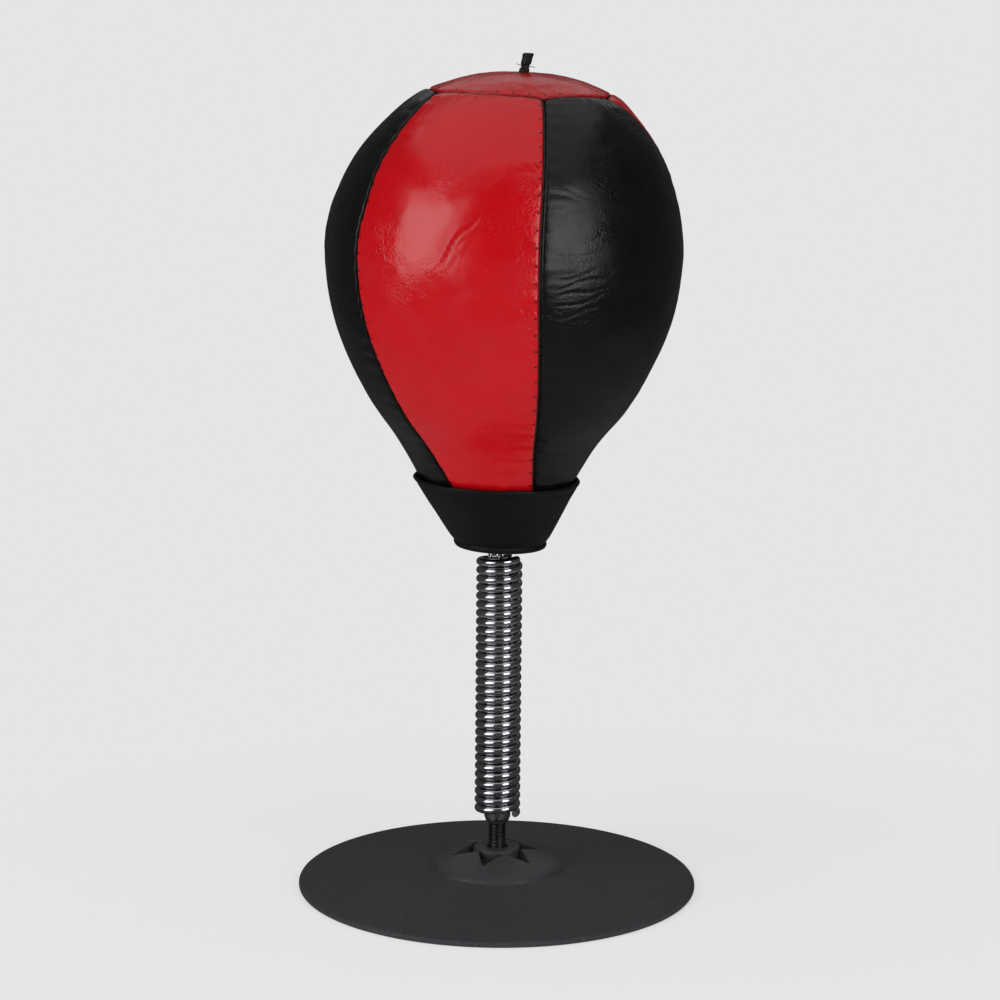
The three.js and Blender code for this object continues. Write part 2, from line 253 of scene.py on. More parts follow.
# ---------------------------------------------------------------- materials
class Nodes:
    """A short way to write a material's nodes."""

    def __init__(self, name):
        self.material = bpy.data.materials.new(name)
        self.material.use_nodes = True
        self.tree = self.material.node_tree
        self.shader = self.tree.nodes["Principled BSDF"]

    def add(self, kind, inputs=None, **settings):
        node = self.tree.nodes.new("ShaderNode" + kind)
        for key, value in settings.items():
            setattr(node, key, value)
        for key, value in (inputs or {}).items():
            if isinstance(value, bpy.types.NodeSocket):
                self.tree.links.new(value, node.inputs[key])
            else:
                node.inputs[key].default_value = value
        return node

    def set(self, **inputs):
        for key, value in inputs.items():
            socket = self.shader.inputs[key.replace("_", " ")]
            if isinstance(value, bpy.types.NodeSocket):
                self.tree.links.new(value, socket)
            else:
                socket.default_value = value

    def place(self, stretch=(1, 1, 1)):
        coordinates = self.add("TexCoord").outputs["Object"]
        return self.add("Mapping", {"Vector": coordinates, "Scale": stretch}).outputs["Vector"]

    def noise(self, vector, scale, detail=3.0, roughness=0.5, distortion=0.0):
        inputs = {"Vector": vector, "Scale": scale, "Detail": detail, "Roughness": roughness}
        inputs["Distortion"] = distortion
        return self.add("TexNoise", inputs).outputs["Fac"]

    def voronoi(self, vector, scale, feature="F1"):
        inputs = {"Vector": vector, "Scale": scale}
        return self.add("TexVoronoi", inputs, feature=feature).outputs["Distance"]

    def ramp(self, factor, *stops):
        """Colours, or greys, at places along a factor."""
        node = self.add("ValToRGB", {"Fac": factor})
        ramp = node.color_ramp
        while len(ramp.elements) < len(stops):
            ramp.elements.new(0.5)
        for element, (position, colour) in zip(ramp.elements, stops):
            element.position = position
            grey = (colour, colour, colour) if isinstance(colour, (int, float)) else colour
            element.color = (*grey, 1)
        return node.outputs["Color"]

    def math(self, operation, a, b=0.0):
        return self.add("Math", {0: a, 1: b}, operation=operation).outputs[0]

    def mix(self, factor, a, b, blend="MIX"):
        node = self.add("Mix", data_type="RGBA", blend_type=blend)
        for index, value in ((0, factor), (6, a), (7, b)):
            if isinstance(value, bpy.types.NodeSocket):
                self.tree.links.new(value, node.inputs[index])
            else:
                node.inputs[index].default_value = value if index == 0 else (*value, 1)
        return node.outputs[2]

    def bump(self, height, strength, distance, normal=None):
        inputs = {"Height": height, "Strength": strength, "Distance": distance}
        if normal is not None:
            inputs["Normal"] = normal
        return self.add("Bump", inputs).outputs["Normal"]

    def attribute(self, name):
        return self.add("Attribute", attribute_name=name).outputs["Fac"]


def leather(name, light, dark, edge, roughness, gloss, grain=0.3, crackle=0.30):
    """Smooth coated leather: fine pores, a net of small creases, a little unevenness, and painted shade in its seams.
    """
    n = Nodes(name)
    place = n.place()
    cloud = n.noise(place, 28, 4, 0.55)
    base = n.ramp(cloud, (0.3, dark), (0.7, light))
    speck = n.noise(place, 900, 2, 0.6)
    base = n.mix(n.ramp(speck, (0.35, 0.25), (0.6, 0.0)), base, dark)
    # Painted shade: the seam mask darkens the seam grooves towards the third colour, and the needle holes take the same
    # dark colour.
    seam_shade = n.attribute("seam")
    base = n.mix(seam_shade, base, edge)
    hole = n.attribute("stitch")
    part = n.math("SUBTRACT", n.math("FRACT", hole), 0.5)
    along = n.math("MULTIPLY", part, STITCH)
    off = n.math("SUBTRACT", n.attribute("off_seam"), HOLE_INSET)
    reach = n.math("SQRT", n.math("ADD", n.math("MULTIPLY", along, along), n.math("MULTIPLY", off, off)))
    hole = n.ramp(n.math("MULTIPLY", reach, 0.5), (0.14, 1.0), (0.36, 0.0))
    base = n.mix(hole, base, edge)
    wobble = n.add("TexNoise", {"Vector": place, "Scale": 210.0, "Detail": 2.0}).outputs["Color"]
    shift = n.add("VectorMath", {0: wobble, "Scale": 0.0035}, operation="SCALE").outputs[0]
    bent = n.add("VectorMath", {0: place, 1: shift}, operation="ADD").outputs[0]
    net = n.ramp(n.voronoi(bent, 520, "DISTANCE_TO_EDGE"), (0.0, 0.0), (0.16, 1.0))
    where = n.ramp(n.noise(place, 45, 3, 0.6), (0.42, 0.0), (0.62, 1.0))
    net = n.math("MULTIPLY", n.math("SUBTRACT", net, 1.0), where)
    pores = n.voronoi(place, 1500)
    fine = n.noise(place, 2600, 2)
    normal = n.bump(net, crackle, 0.00016)
    normal = n.bump(n.math("SUBTRACT", 1.0, hole), 0.8, 0.0004, normal)
    normal = n.bump(pores, grain, 0.00006, normal)
    normal = n.bump(fine, 0.25, 0.00003, normal)
    sheen = n.noise(place, 75, 4, 0.6)
    rough = n.ramp(sheen, (0.3, roughness - 0.05), (0.7, roughness + 0.07))
    rough = n.mix(seam_shade, rough, (0.75, 0.75, 0.75))
    n.set(Base_Color=base, Roughness=rough, Normal=normal, Specular_IOR_Level=gloss)
    return n.material


def rubber(name, light, dark, roughness, grain):
    """Moulded rubber with a fine grain, a bloom that varies over it, and dust in the grain."""
    n = Nodes(name)
    place = n.place()
    cloud = n.noise(place, 22, 5, 0.6)
    base = n.ramp(cloud, (0.3, dark), (0.72, light))
    dust = n.noise(place, 1250, 3, 0.75)
    pale = tuple(2.6 * c for c in light)
    base = n.mix(n.ramp(dust, (0.54, 0.0), (0.70, 0.6)), base, pale)
    polish = n.attribute("polish")
    rough = n.ramp(cloud, (0.3, roughness - 0.06), (0.7, roughness + 0.08))
    rough = n.mix(polish, rough, (0.36, 0.36, 0.36))
    speckle = n.noise(place, 1500, 3, 0.65)
    height = n.math("MULTIPLY", speckle, n.math("SUBTRACT", 1.0, polish))
    normal = n.bump(height, grain, 0.00012)
    normal = n.bump(n.noise(place, 420, 2), 0.18, 0.0001, normal)
    n.set(Base_Color=base, Roughness=rough, Normal=normal, Specular_IOR_Level=0.26)
    return n.material


def metal(name, light, dark, roughness, scratch=0.12, stretch=(1, 1, 1)):
    """Metal with fine marks, a slightly uneven colour and tarnish that changes its gloss."""
    n = Nodes(name)
    place = n.place(stretch)
    cloud = n.noise(place, 60, 4, 0.6)
    base = n.ramp(cloud, (0.32, dark), (0.62, light))
    fine = n.noise(place, 1400, 3, 0.65)
    rough = n.ramp(fine, (0.35, max(0.02, roughness - 0.04)), (0.7, roughness + 0.08))
    normal = n.bump(n.noise(place, 700, 3, 0.6), scratch, 0.00003)
    n.set(Base_Color=base, Metallic=1.0, Roughness=rough, Normal=normal)
    return n.material


def thread_material(name, light, dark):
    """Thread with fibres along and across it."""
    n = Nodes(name)
    place = n.place()
    fibre = n.noise(place, 2500, 4, 0.7)
    base = n.ramp(fibre, (0.35, dark), (0.65, light))
    normal = n.bump(fibre, 0.5, 0.00008)
    n.set(Base_Color=base, Roughness=0.62, Normal=normal)
    return n.material


def cloth_material(name, light, dark):
    """Plain-woven backing cloth."""
    n = Nodes(name)
    place = n.place()
    yarn = {"Vector": place, "Scale": 420.0, "Distortion": 1.0}
    weft, warp = (n.add("TexWave", yarn, bands_direction=way).outputs["Fac"] for way in "XZ")
    weave = n.math("MULTIPLY", weft, warp)
    base = n.ramp(weave, (0.1, dark), (0.8, light))
    n.set(Base_Color=base, Roughness=0.9, Normal=n.bump(weave, 0.5, 0.0002), Sheen_Weight=0.2)
    return n.material


def wood_material(name, light, dark):
    """Wood or board, with its grain along +Z."""
    n = Nodes(name)
    place = n.place((1, 1, 0.15))
    rings = n.noise(place, 220, 6, 0.6, 1.5)
    base = n.ramp(rings, (0.35, dark), (0.65, light))
    n.set(Base_Color=base, Roughness=n.ramp(rings, (0.3, 0.6), (0.7, 0.8)), Normal=n.bump(rings, 0.3, 0.0002))
    return n.material


# The third colour of each leather is painted shade, mixed in along its seam grooves and needle holes.
red = leather("red leather", (0.60, 0.0030, 0.0075), (0.53, 0.0024, 0.006), (0.06, 0.002, 0.003), 0.20, 0.50)
black = leather(
    "black leather", (0.0045, 0.0045, 0.0052), (0.0028, 0.0028, 0.0032), (0.001, 0.001, 0.001), 0.27, 0.36
)
collar = leather(
    "holder leatherette", (0.0068, 0.0066, 0.0074), (0.0048, 0.0047, 0.0052), (0.002, 0.002, 0.002), 0.5, 0.2
)
base_rubber = rubber("base rubber", (0.0530, 0.0480, 0.0550), (0.0400, 0.0365, 0.0420), 0.66, 0.9)
inner_rubber = rubber("bladder rubber", (0.014, 0.013, 0.013), (0.009, 0.009, 0.009), 0.55, 0.3)
chrome = metal("spring chrome", (0.66, 0.66, 0.69), (0.55, 0.55, 0.58), 0.13)
plug_chrome = metal("plug chrome", (0.70, 0.70, 0.72), (0.58, 0.58, 0.60), 0.12)
steel = metal("turned steel", (0.52, 0.52, 0.53), (0.40, 0.40, 0.41), 0.32, 0.2, (1, 1, 6))
dark_steel = metal("oiled steel", (0.105, 0.098, 0.098), (0.050, 0.046, 0.046), 0.34, 0.3)
thread = thread_material("waxed thread", (0.040, 0.034, 0.030), (0.008, 0.007, 0.006))
lining = cloth_material("cotton lining", (0.33, 0.31, 0.28), (0.18, 0.17, 0.15))
wood = wood_material("turned wood", (0.47, 0.31, 0.17), (0.30, 0.18, 0.09))
board = wood_material("pressed board", (0.27, 0.17, 0.10), (0.17, 0.11, 0.06))


def weigh(obj, name, values):
    """A number for each point, which the materials read."""
    attribute = obj.data.attributes.new(name, "FLOAT", "POINT")
    attribute.data.foreach_set("value", np.asarray(values, np.float32).ravel())


# ---------------------------------------------------------------- the ball's outside
def spline(points, steps=40):
    """A smooth curve through points, and the length along it."""
    p = np.asarray(points, float)
    p = np.vstack([2 * p[0] - p[1], p, 2 * p[-1] - p[-2]])
    t = np.linspace(0, 1, steps, endpoint=False)[:, None]
    pieces = []
    for a, b, c, d in zip(p[:-3], p[1:-2], p[2:-1], p[3:]):
        square, cube = 2 * a - 5 * b + 4 * c - d, 3 * b - a - 3 * c + d
        pieces.append(0.5 * (2 * b + (c - a) * t + square * t**2 + cube * t**3))
    curve = np.vstack([*pieces, p[-2]])
    length = np.concatenate([[0], np.cumsum(np.linalg.norm(np.diff(curve, axis=0), axis=1))])
    return curve, length


CURVE, LENGTH = spline(OUTLINE)
SLOPE = np.gradient(CURVE, LENGTH, axis=0)


def outline(s):
    """Radius and height of the ball's outside at a length along it, and its outward direction."""
    r, z = np.interp(s, LENGTH, CURVE[:, 0]), np.interp(s, LENGTH, CURVE[:, 1])
    dr, dz = np.interp(s, LENGTH, SLOPE[:, 0]), np.interp(s, LENGTH, SLOPE[:, 1])
    size = np.hypot(dr, dz)
    return r, z, dz / size, -dr / size


def seam_angle(i, z):
    """Angle of a seam between two panels at a height: the panels twist a little towards both ends."""
    twist = 13 * ((z - BELLY) / 105) ** 2 + 3.5 * (np.clip(75 - z, 0, None) / 27) ** 2
    high = np.clip((z - 160) / 45, 0, None) ** 1.3
    low = np.clip((78 - z) / 30, 0, 1)
    far = {0: 1.8 * high, 1: 40 * np.exp(-(CAP_Z + 1 - z) / 13) - 10, 4: 15 * low, 5: 8.8 * high}
    back = far.get(i % 6, 3 * high)
    return SEAMS[i % 6] + 360 * (i // 6) + twist - back


def cap_edge(degrees):
    """Length along the outline at which the top cap's seam runs: the six side seams pull it out a little."""
    gaps = [(degrees - seam_angle(i, CAP_Z) + 180) % 360 - 180 for i in range(6)]
    pull = sum(np.exp(-((gap / 8) ** 2)) for gap in gaps)
    upper = LENGTH > LENGTH[np.argmax(CURVE[:, 0])]
    return np.interp(-(CAP_SEAM_R - 1.0 + 1.4 * pull), -CURVE[upper, 0], LENGTH[upper])


def edge_dip(d):
    """How far a panel's edge turns in, at a distance from its seam."""
    return 1.75 * np.exp(-((d / 0.42) ** 2)) + 0.50 * np.exp(-((d / 1.0) ** 2)) + 0.18 * np.exp(-d / 4)


def creases(x, y, lines, seed):
    """Folds in the leather: each a shallow valley with a raised side, from point to point on the flat panel."""
    total = np.zeros_like(x)
    for k, (x0, y0, x1, y1, deep, wide) in enumerate(lines):
        length = math.hypot(x1 - x0, y1 - y0)
        ux, uy = (x1 - x0) / length, (y1 - y0) / length
        along = (x - x0) * ux + (y - y0) * uy
        off = (y - y0) * ux - (x - x0) * uy
        ragged = noise(np.stack([along, np.full_like(along, 10.0 * k), np.zeros_like(along)], -1), 3.0, seed + k)
        bow = 0.018 * (along - length / 2) ** 2 / max(length, 1) * (1 if k % 2 else -1)
        off = off + 0.9 * np.sin(along / 4.1 + 1.7 * k) + 0.06 * wide * ragged + bow
        t = np.clip(along / length, 0, 1)
        fade = np.clip(np.sin(np.pi * t), 0, 1) ** 0.6 * ((along > 0) & (along < length))
        ridge = 0.55 * np.exp(-(((off - 1.3 * wide) / wide) ** 2))
        total += fade * deep * (ridge - np.exp(-((off / wide) ** 2)))
    return total


# The folds of each panel, as (x0, y0, x1, y1, depth, width): x is mm from its middle, towards its end seam, and y the
# height in the ball's own frame.
FRONT_RED = [
    (-1, 138.5, 12, 158, 0.42, 0.5), (1.5, 140.5, 15, 162.5, 0.46, 0.5), (5, 143, 16.5, 159, 0.36, 0.45),
    (8, 148, 15, 164, 0.30, 0.45), (3, 137.5, 10, 148.5, 0.30, 0.45), (9, 143, 17, 155, 0.22, 0.4),
    (29, 126.5, 41, 122, 0.26, 0.45), (31, 123.5, 41, 118.5, 0.34, 0.45), (33, 120.5, 41, 116.5, 0.28, 0.4),
    (41, 178, 32, 184, 0.22, 0.5), (41, 171, 34, 175, 0.22, 0.45), (41, 165, 35, 168, 0.2, 0.45),
]
FRONT_BLACK = [
    (-50, 137, -31, 141, 0.30, 0.5), (-50, 133.5, -27, 138.5, 0.42, 0.55), (-50, 130, -25, 135, 0.46, 0.55),
    (-50, 126, -24, 132, 0.42, 0.5), (-50, 122, -28, 126, 0.36, 0.5), (-49, 118, -31, 121, 0.26, 0.5),
    (-44, 144, -27, 151, 0.24, 0.5), (-40, 150, -26, 158, 0.24, 0.5), (-50, 154, -36, 155.5, 0.2, 0.45),
    (-49, 172, -35, 168, 0.26, 0.5), (-47, 176, -30, 170, 0.22, 0.5), (-49, 147, -38, 148, 0.18, 0.4),
    (12, 132, 24, 146, 0.22, 0.6), (8, 168, 22, 175, 0.2, 0.6), (20, 110, 34, 118, 0.2, 0.6),
]
SIDE = [
    (-38, 128, -22, 133, 0.32, 0.6), (-39, 122, -20, 126, 0.28, 0.5), (36, 146, 22, 152, 0.3, 0.6),
    (37, 139, 24, 143, 0.24, 0.5), (-8, 168, 5, 181, 0.2, 0.6), (8, 96, 16, 108, 0.22, 0.6),
    (-12, 140, 2, 154, 0.3, 0.5), (-8, 137, 5, 151, 0.26, 0.5),
]


HALF_COLUMNS, PANEL_ROWS = 46, 280  # points on half a panel's width, and along it
BACK_ROW, BACK_COLUMN = 8, 4  # the panel's back keeps one row and one column in so many
PANEL_FOOT = 3.0  # length along the outline at which the panels start, inside the holder
SEAM_GAP, CAP_GAP = 0.16, 0.18  # from a piece's edge to its seam
NO_HOLES = 9.0  # a distance from the seam with no needle holes


def panel(index, name, lines, colour, slot):
    """One side panel of the cover, from the holder to the top cap."""
    # Columns stand closer together beside the seams, and rows below the cap.
    steps = np.minimum(0.14 * 1.13 ** np.arange(HALF_COLUMNS), 1.0)
    u = SEAM_GAP + np.concatenate([[0], np.cumsum(steps)])
    u = 0.5 * u / u[-1]
    u = np.concatenate([u, 1 - u[-2::-1]])
    v = np.linspace(0, 1, PANEL_ROWS + 1)[:, None]
    v = 1 - (1 - v) * (1 - 0.45 * v**9)
    top_angle = (1 - u) * seam_angle(index, CAP_Z) + u * seam_angle(index + 1, CAP_Z)
    top = cap_edge(top_angle)[None, :] - CAP_GAP
    s = PANEL_FOOT + v * (top - PANEL_FOOT)
    r, z, nr, nz = outline(s)
    start, end = seam_angle(index, z), seam_angle(index + 1, z)
    width = np.radians(end - start) * r
    margin = SEAM_GAP / width
    share = margin + u[None, :] * (1 - 2 * margin)
    degrees = start + share * (end - start)
    left, right, above = share * width, (1 - share) * width, top + CAP_GAP - s
    d = np.minimum(left, right)
    d_all = -1.2 * np.log(np.exp(-d / 1.2) + np.exp(-above / 1.2))
    d_all = np.clip(np.minimum(d_all, np.minimum(d, above)), 0.05, None)
    flat = around(r, degrees, z)
    out = 0.34 * noise(flat, 21, 3) + 0.16 * noise(flat, 9, 5) + 0.05 * noise(flat, 4, 8)
    near = np.exp(-d / 5.5)
    pull = 0.13 * np.cos(2 * np.pi * (s + 1.5 * (left < right)) / 7.0) * near * (1 - np.exp(-((d / 0.6) ** 2)))
    rough = noise(np.stack([s / 2.0, d / 9.0 + 40 * (left < right), z * 0], -1), 1.0, 11 + index)
    pucker = 0.26 * rough * np.exp(-d / 7.0) * (1 - np.exp(-((d / 1.0) ** 2)))
    around_cap = noise(np.stack([degrees / 2.4, above / 9.0, z * 0], -1), 1.0, 31 + index)
    pucker = pucker + 0.32 * around_cap * np.exp(-above / 8.0)
    foot = np.clip((56 - z) / 22, 0, 1)
    gather = 0.35 * foot * noise(np.stack([degrees / 5.5, z / 16, z * 0], -1), 1.0, 17)
    x = (share - 0.5) * width
    out = out * (1 - np.exp(-d_all / 3)) + pull + pucker + gather + creases(x, z, lines, 60 + 9 * index)
    out = out - edge_dip(d_all)
    outer = flat + out[..., None] * around(nr, degrees, nz)
    deep = 2.0 + 1.6 * np.exp(-((d_all / 3.5) ** 2))
    inner = around(r - deep * nr, degrees, z - deep * nz)
    points, faces = sheet_solid(outer, inner, BACK_ROW, BACK_COLUMN)
    made = make(name, points, faces, colour, "head", BALL, slot)
    back = len(points) - d.size
    # Painted shade mask: darkest in the seam groove, and full on the hidden back.
    seam = np.exp(-((d_all / 0.75) ** 2)).ravel()
    holes = d if index % 2 else np.full(d.shape, NO_HOLES)  # only the red panels show their needle holes
    weigh(made, "seam", np.concatenate([seam, np.ones(back)]))
    weigh(made, "stitch", np.concatenate([(s / STITCH + 0 * d).ravel(), np.zeros(back)]))
    weigh(made, "off_seam", np.concatenate([holes.ravel(), np.full(back, NO_HOLES)]))
    return made


for index, (name, lines) in enumerate([
    ("panel_black_1", FRONT_BLACK), ("panel_red_1", SIDE), ("panel_black_2", SIDE[2:]),
    ("panel_red_2", SIDE[1:5]), ("panel_black_3", SIDE[::-1]), ("panel_red_3", FRONT_RED),
]):
    colour, slot = (red, "red_leather") if index % 2 else (black, "black_leather")
    made = panel(index, "leather_" + name, lines, colour, slot)
    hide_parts("cover_" + name)


def to_neck(points):
    """Moves what is near the crown's middle towards where the filling neck comes out, along the surface."""
    r = np.hypot(points[..., 0], points[..., 1])
    moved = points.copy()
    moved[..., 0] += NECK_OFFSET * np.exp(-((r / 17) ** 2)) * (points[..., 2] > 200)
    after = np.hypot(moved[..., 0], moved[..., 1])
    radii, heights = CURVE[::-1, 0][:200], CURVE[::-1, 1][:200]
    moved[..., 2] += np.interp(after, radii, heights) - np.interp(r, radii, heights)
    return moved


NECK_HOLE = 2.9  # from the crown's middle to the cap's inner edge


def top_cap():
    """The round cap at the crown, gathered a little round the filling neck."""
    cols = 288
    degrees = np.linspace(0, 360, cols, endpoint=False)[None, :]
    edge = cap_edge(degrees) + CAP_GAP
    end = LENGTH[-1] - NECK_HOLE
    s = edge + np.linspace(0, 1, 76)[:, None] ** 1.25 * (end - edge)
    r, z, nr, nz = outline(s)
    d = s - edge + CAP_GAP
    place = around(r, degrees, z)
    hub = end - s
    out = 0.22 * noise(place, 15, 23) + 0.14 * noise(place, 6, 24) + 0.05 * noise(place, 3, 25)
    out = out + 0.30 * noise(np.stack([degrees / 5.0 + 0 * s, d / 9.0, 0 * s], -1), 1.0, 26) * np.exp(-d / 7)
    out = out + 0.22 * noise(np.stack([degrees / 14.0 + 0 * s, hub / 7.0, 0 * s], -1), 1.0, 27) * np.exp(-hub / 6)
    swirl = degrees + 55 * np.log(np.maximum(hub, 0.5) + 6)
    out = out + 0.10 * np.sin(np.radians(swirl * 3)) * np.exp(-(((hub - 14) / 8) ** 2))
    out = out - edge_dip(d) - 0.9 * np.exp(-((hub / 1.6) ** 2))
    outer = to_neck(place) + out[..., None] * around(nr, degrees, nz)
    s_in = edge + np.linspace(1, 0, 9)[:, None] * (end - edge)
    r, z, nr, nz = outline(s_in)
    deep = 2.0 + 1.6 * np.exp(-(((s_in - edge) / 3.5) ** 2))
    inner = to_neck(around(r - deep * nr, degrees, z - deep * nz))
    grid = np.concatenate([outer, inner])
    faces = grid_faces(len(grid), cols, True, True)
    made = make("leather_top_cap", grid.reshape(-1, 3), faces, red, "head", BALL, "red_leather")
    back = len(inner) * cols
    # Painted shade mask: darker in the seam groove and in the hollow round the filling neck, full on the hidden back.
    seam = np.exp(-((d / 0.75) ** 2)) + 0.7 * np.exp(-((hub / 1.2) ** 2))
    count = round(360 / np.degrees(STITCH / CAP_SEAM_R))
    weigh(made, "seam", np.concatenate([seam.ravel(), np.ones(back)]))
    weigh(made, "stitch", np.concatenate([(degrees / 360 * count + 0 * d).ravel(), np.zeros(back)]))
    weigh(made, "off_seam", np.concatenate([d.ravel(), np.full(back, NO_HOLES)]))
    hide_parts("top_cap")


top_cap()

# ---------------------------------------------------------------- the sewing thread down in the six side seams
WELT_DEPTH = 1.6
for index in range(6):
    s = np.linspace(6.0, float(cap_edge(np.array(seam_angle(index, CAP_Z)))) - 1.6, 300)
    r, z, nr, nz = outline(s)
    path = around(r - WELT_DEPTH * nr, seam_angle(index, z), z - WELT_DEPTH * nz)
    points, faces = tube(path, 0.40 + 0.09 * np.cos(2 * np.pi * s / 2.4), 8)
    welt = make(f"sewn_welt_{index + 1}", points, faces, thread, "head", BALL, "thread")
    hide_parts(f"seam_welt_{index + 1}")

# ---------------------------------------------------------------- lining, bladder and filling neck
def shell(name, near, far, material, slot, node, short):
    """A thin shell inside the cover, between two depths. Its opening is cut short of the crown's middle."""
    sides = 96
    s = np.linspace(2.0, LENGTH[-1] - short, 60)
    rows = []
    for depth in (near, far):
        r, z, nr, nz = outline(s)
        rows.append(np.stack([np.maximum(r - depth * nr, 3.0), z - depth * nz], -1))
    profile = np.vstack([rows[0], rows[1][::-1]])
    grid = around(profile[:, :1], np.linspace(0, 360, sides, endpoint=False)[None, :], profile[:, 1:])
    faces = grid_faces(len(profile), sides, True, True)
    made = make(name, to_neck(grid).reshape(-1, 3), faces, material, "head", BALL, slot)
    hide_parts(node)


shell("cotton_lining", 3.8, 4.6, lining, "lining_cloth", "cover_lining", 4.2)
shell("rubber_bladder", 4.9, 6.0, inner_rubber, "bladder_rubber", "bladder", 6.5)

NECK_BEND = math.tan(math.radians(5.3))
neck_rows = np.linspace(CROWN - 7.0, NECK_TOP, 34)


def neck_centre(z):
    """The filling neck is straight inside the ball, and bends over a little outside it."""
    rise = np.maximum(z - (CROWN - 1.0), 0)
    return np.stack([NECK_OFFSET + NECK_BEND * rise, -0.05 * rise, z], -1)


pinch = 1 - 0.34 * np.exp(-(((neck_rows - 218.9) / 0.75) ** 2))
lip = 0.22 * np.exp(-(((neck_rows - NECK_TOP + 0.7) / 0.6) ** 2))
outer_r = NECK_R * pinch + lip
outer_r[-1] -= 0.45
turn = np.linspace(0, 360, 32, endpoint=False)[None, :]
wobble = 1 + 0.05 * np.sin(np.radians(3 * turn)) * (pinch[:, None] < 0.97)
outer = around(outer_r[:, None] * wobble, turn, 0 * neck_rows[:, None]) + neck_centre(neck_rows)[:, None]
bore_rows = np.linspace(NECK_TOP - 0.25, CROWN - 7, 12)
bore = around(np.full((12, 1), 1.15), turn, np.zeros((12, 1))) + neck_centre(bore_rows)[:, None]
grid = np.concatenate([outer, bore])
faces = grid_faces(len(grid), turn.size, True, True)
make("filling_neck", grid.reshape(-1, 3), faces, inner_rubber, "head", BALL, "bladder_rubber")

points, faces = turned([
    (0, NECK_TOP - 5.2), (0.9, NECK_TOP - 5.0), (1.08, NECK_TOP - 4.4), (1.08, NECK_TOP - 0.5),
    (0.98, NECK_TOP - 0.12), (0.6, NECK_TOP + 0.02), (0, NECK_TOP - 0.08),
], 24)
points = points + neck_centre(points[:, 2]) * (1, 1, 0)
stopper = make("neck_stopper", points, faces, inner_rubber, "head", BALL, "bladder_rubber")
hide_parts("neck_plug")

# Thread wound round the neck and knotted, with its two short ends.
wind = np.linspace(0, 3.6, 150)
angle = np.radians(360 * wind)
centre = neck_centre(218.45 + 0.24 * wind)
radius = 1.62 + 0.02 * np.sin(5 * angle)
parts = [tube(centre + around(radius, 360 * wind, 0 * angle), 0.16)]
root = neck_centre(np.array(218.9)) + np.array([0, -1.75, 0])
for end in (
    [(-1.3, -0.35, 0.25), (-2.6, -0.5, 0.75), (-3.9, -0.4, 1.15)],
    [(1.2, -0.35, -0.1), (2.6, -0.55, 0.1), (4.1, -0.3, -0.15)],
):
    curve = spline([(0, 0, 0), *end], 10)[0]
    parts.append(tube(root + curve, np.linspace(0.17, 0.11, len(curve))))
knot_turn = np.linspace(0, 2 * np.pi, 40)
knot = np.stack([0.42 * np.sin(knot_turn), -0.15 - 0.25 * np.cos(2 * knot_turn), 0.4 * np.sin(2 * knot_turn)], -1)
parts.append(tube(root + knot, 0.17))
tie = make("neck_thread_tie", *joined(parts), thread, "head", BALL, "thread")
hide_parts("neck_tie")

# ---------------------------------------------------------------- holder
def holder():
    """The collar: a leatherette cone whose rolled rim stands off the ball, and is a little wavy."""
    cols = 240
    degrees = np.linspace(0, 360, cols, endpoint=False)[None, :]
    radians = np.radians(degrees)
    rim = HOLDER_RIM_R - 0.6
    outside = [
        (3.3, HOLDER_BOTTOM), (10, HOLDER_BOTTOM - 0.05), (16.5, HOLDER_BOTTOM), (18.6, HOLDER_BOTTOM + 0.1),
        (19.6, HOLDER_BOTTOM + 0.55), (20.1, HOLDER_BOTTOM + 1.4), (20.2, HOLDER_BOTTOM + 2.2),
        (20.1, HOLDER_BOTTOM + 2.8), (20.5, HOLDER_BOTTOM + 3.6), (22.0, 18.4), (24.9, 23.2), (28.0, 28.6),
        (31.0, 33.8), (33.4, 38.0), (34.8, 40.4), (rim + 0.15, 41.6), (rim + 0.45, 42.3), (rim + 0.35, 42.9),
        (rim - 0.1, 43.25), (rim - 0.7, 43.2), (rim - 1.05, 42.7), (rim - 1.25, 41.9),
    ]
    inside = [(32.2, 38.0), (26.8, 28.6), (22.0, 20.3), (19.0, 16.4), (18.6, 14.4), (12, 14.1), (3.3, 14.1)]
    path = np.vstack([spline(outside, 5)[0], inside])
    r, z = path[:, :1], path[:, 1:]
    up = np.clip((z - HOLDER_BOTTOM - 3) / (HOLDER_RIM - HOLDER_BOTTOM - 3), 0, 1)
    wave = 0.45 * noise(np.stack([8 * np.sin(radians), 8 * np.cos(radians), 0 * radians], -1), 3.2, 41)
    place = around(r, degrees, z)
    sag = 0.28 * noise(place, 9, 43) + 0.12 * noise(place, 4, 44)
    stitch_line = 0.12 * np.exp(-(((z - 40.6) / 0.5) ** 2)) + 0.15 * np.exp(-(((z - 15.6) / 0.5) ** 2))
    is_out = np.arange(len(path))[:, None] < len(path) - len(inside)
    r = r + (0.55 * wave * up**2 + sag * up * is_out) - stitch_line * is_out
    z = z + 0.9 * wave * up**3 + 0 * degrees
    skew = BALL_OFFSET * (z - HOLDER_BOTTOM) / (HOLDER_RIM - HOLDER_BOTTOM)
    grid = around(r, degrees, z)
    grid[..., 0] += skew
    faces = grid_faces(len(grid), cols, True, True)
    made = make("leatherette_holder", grid.reshape(-1, 3), faces, collar, "head", HEAD, "holder_leather")
    # Painted shade mask along the two stitch grooves of the outside.
    weigh(made, "seam", np.broadcast_to(stitch_line * is_out * 1.4, r.shape))
    weigh(made, "off_seam", np.full(r.shape, NO_HOLES))
    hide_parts("holder_cup")


holder()

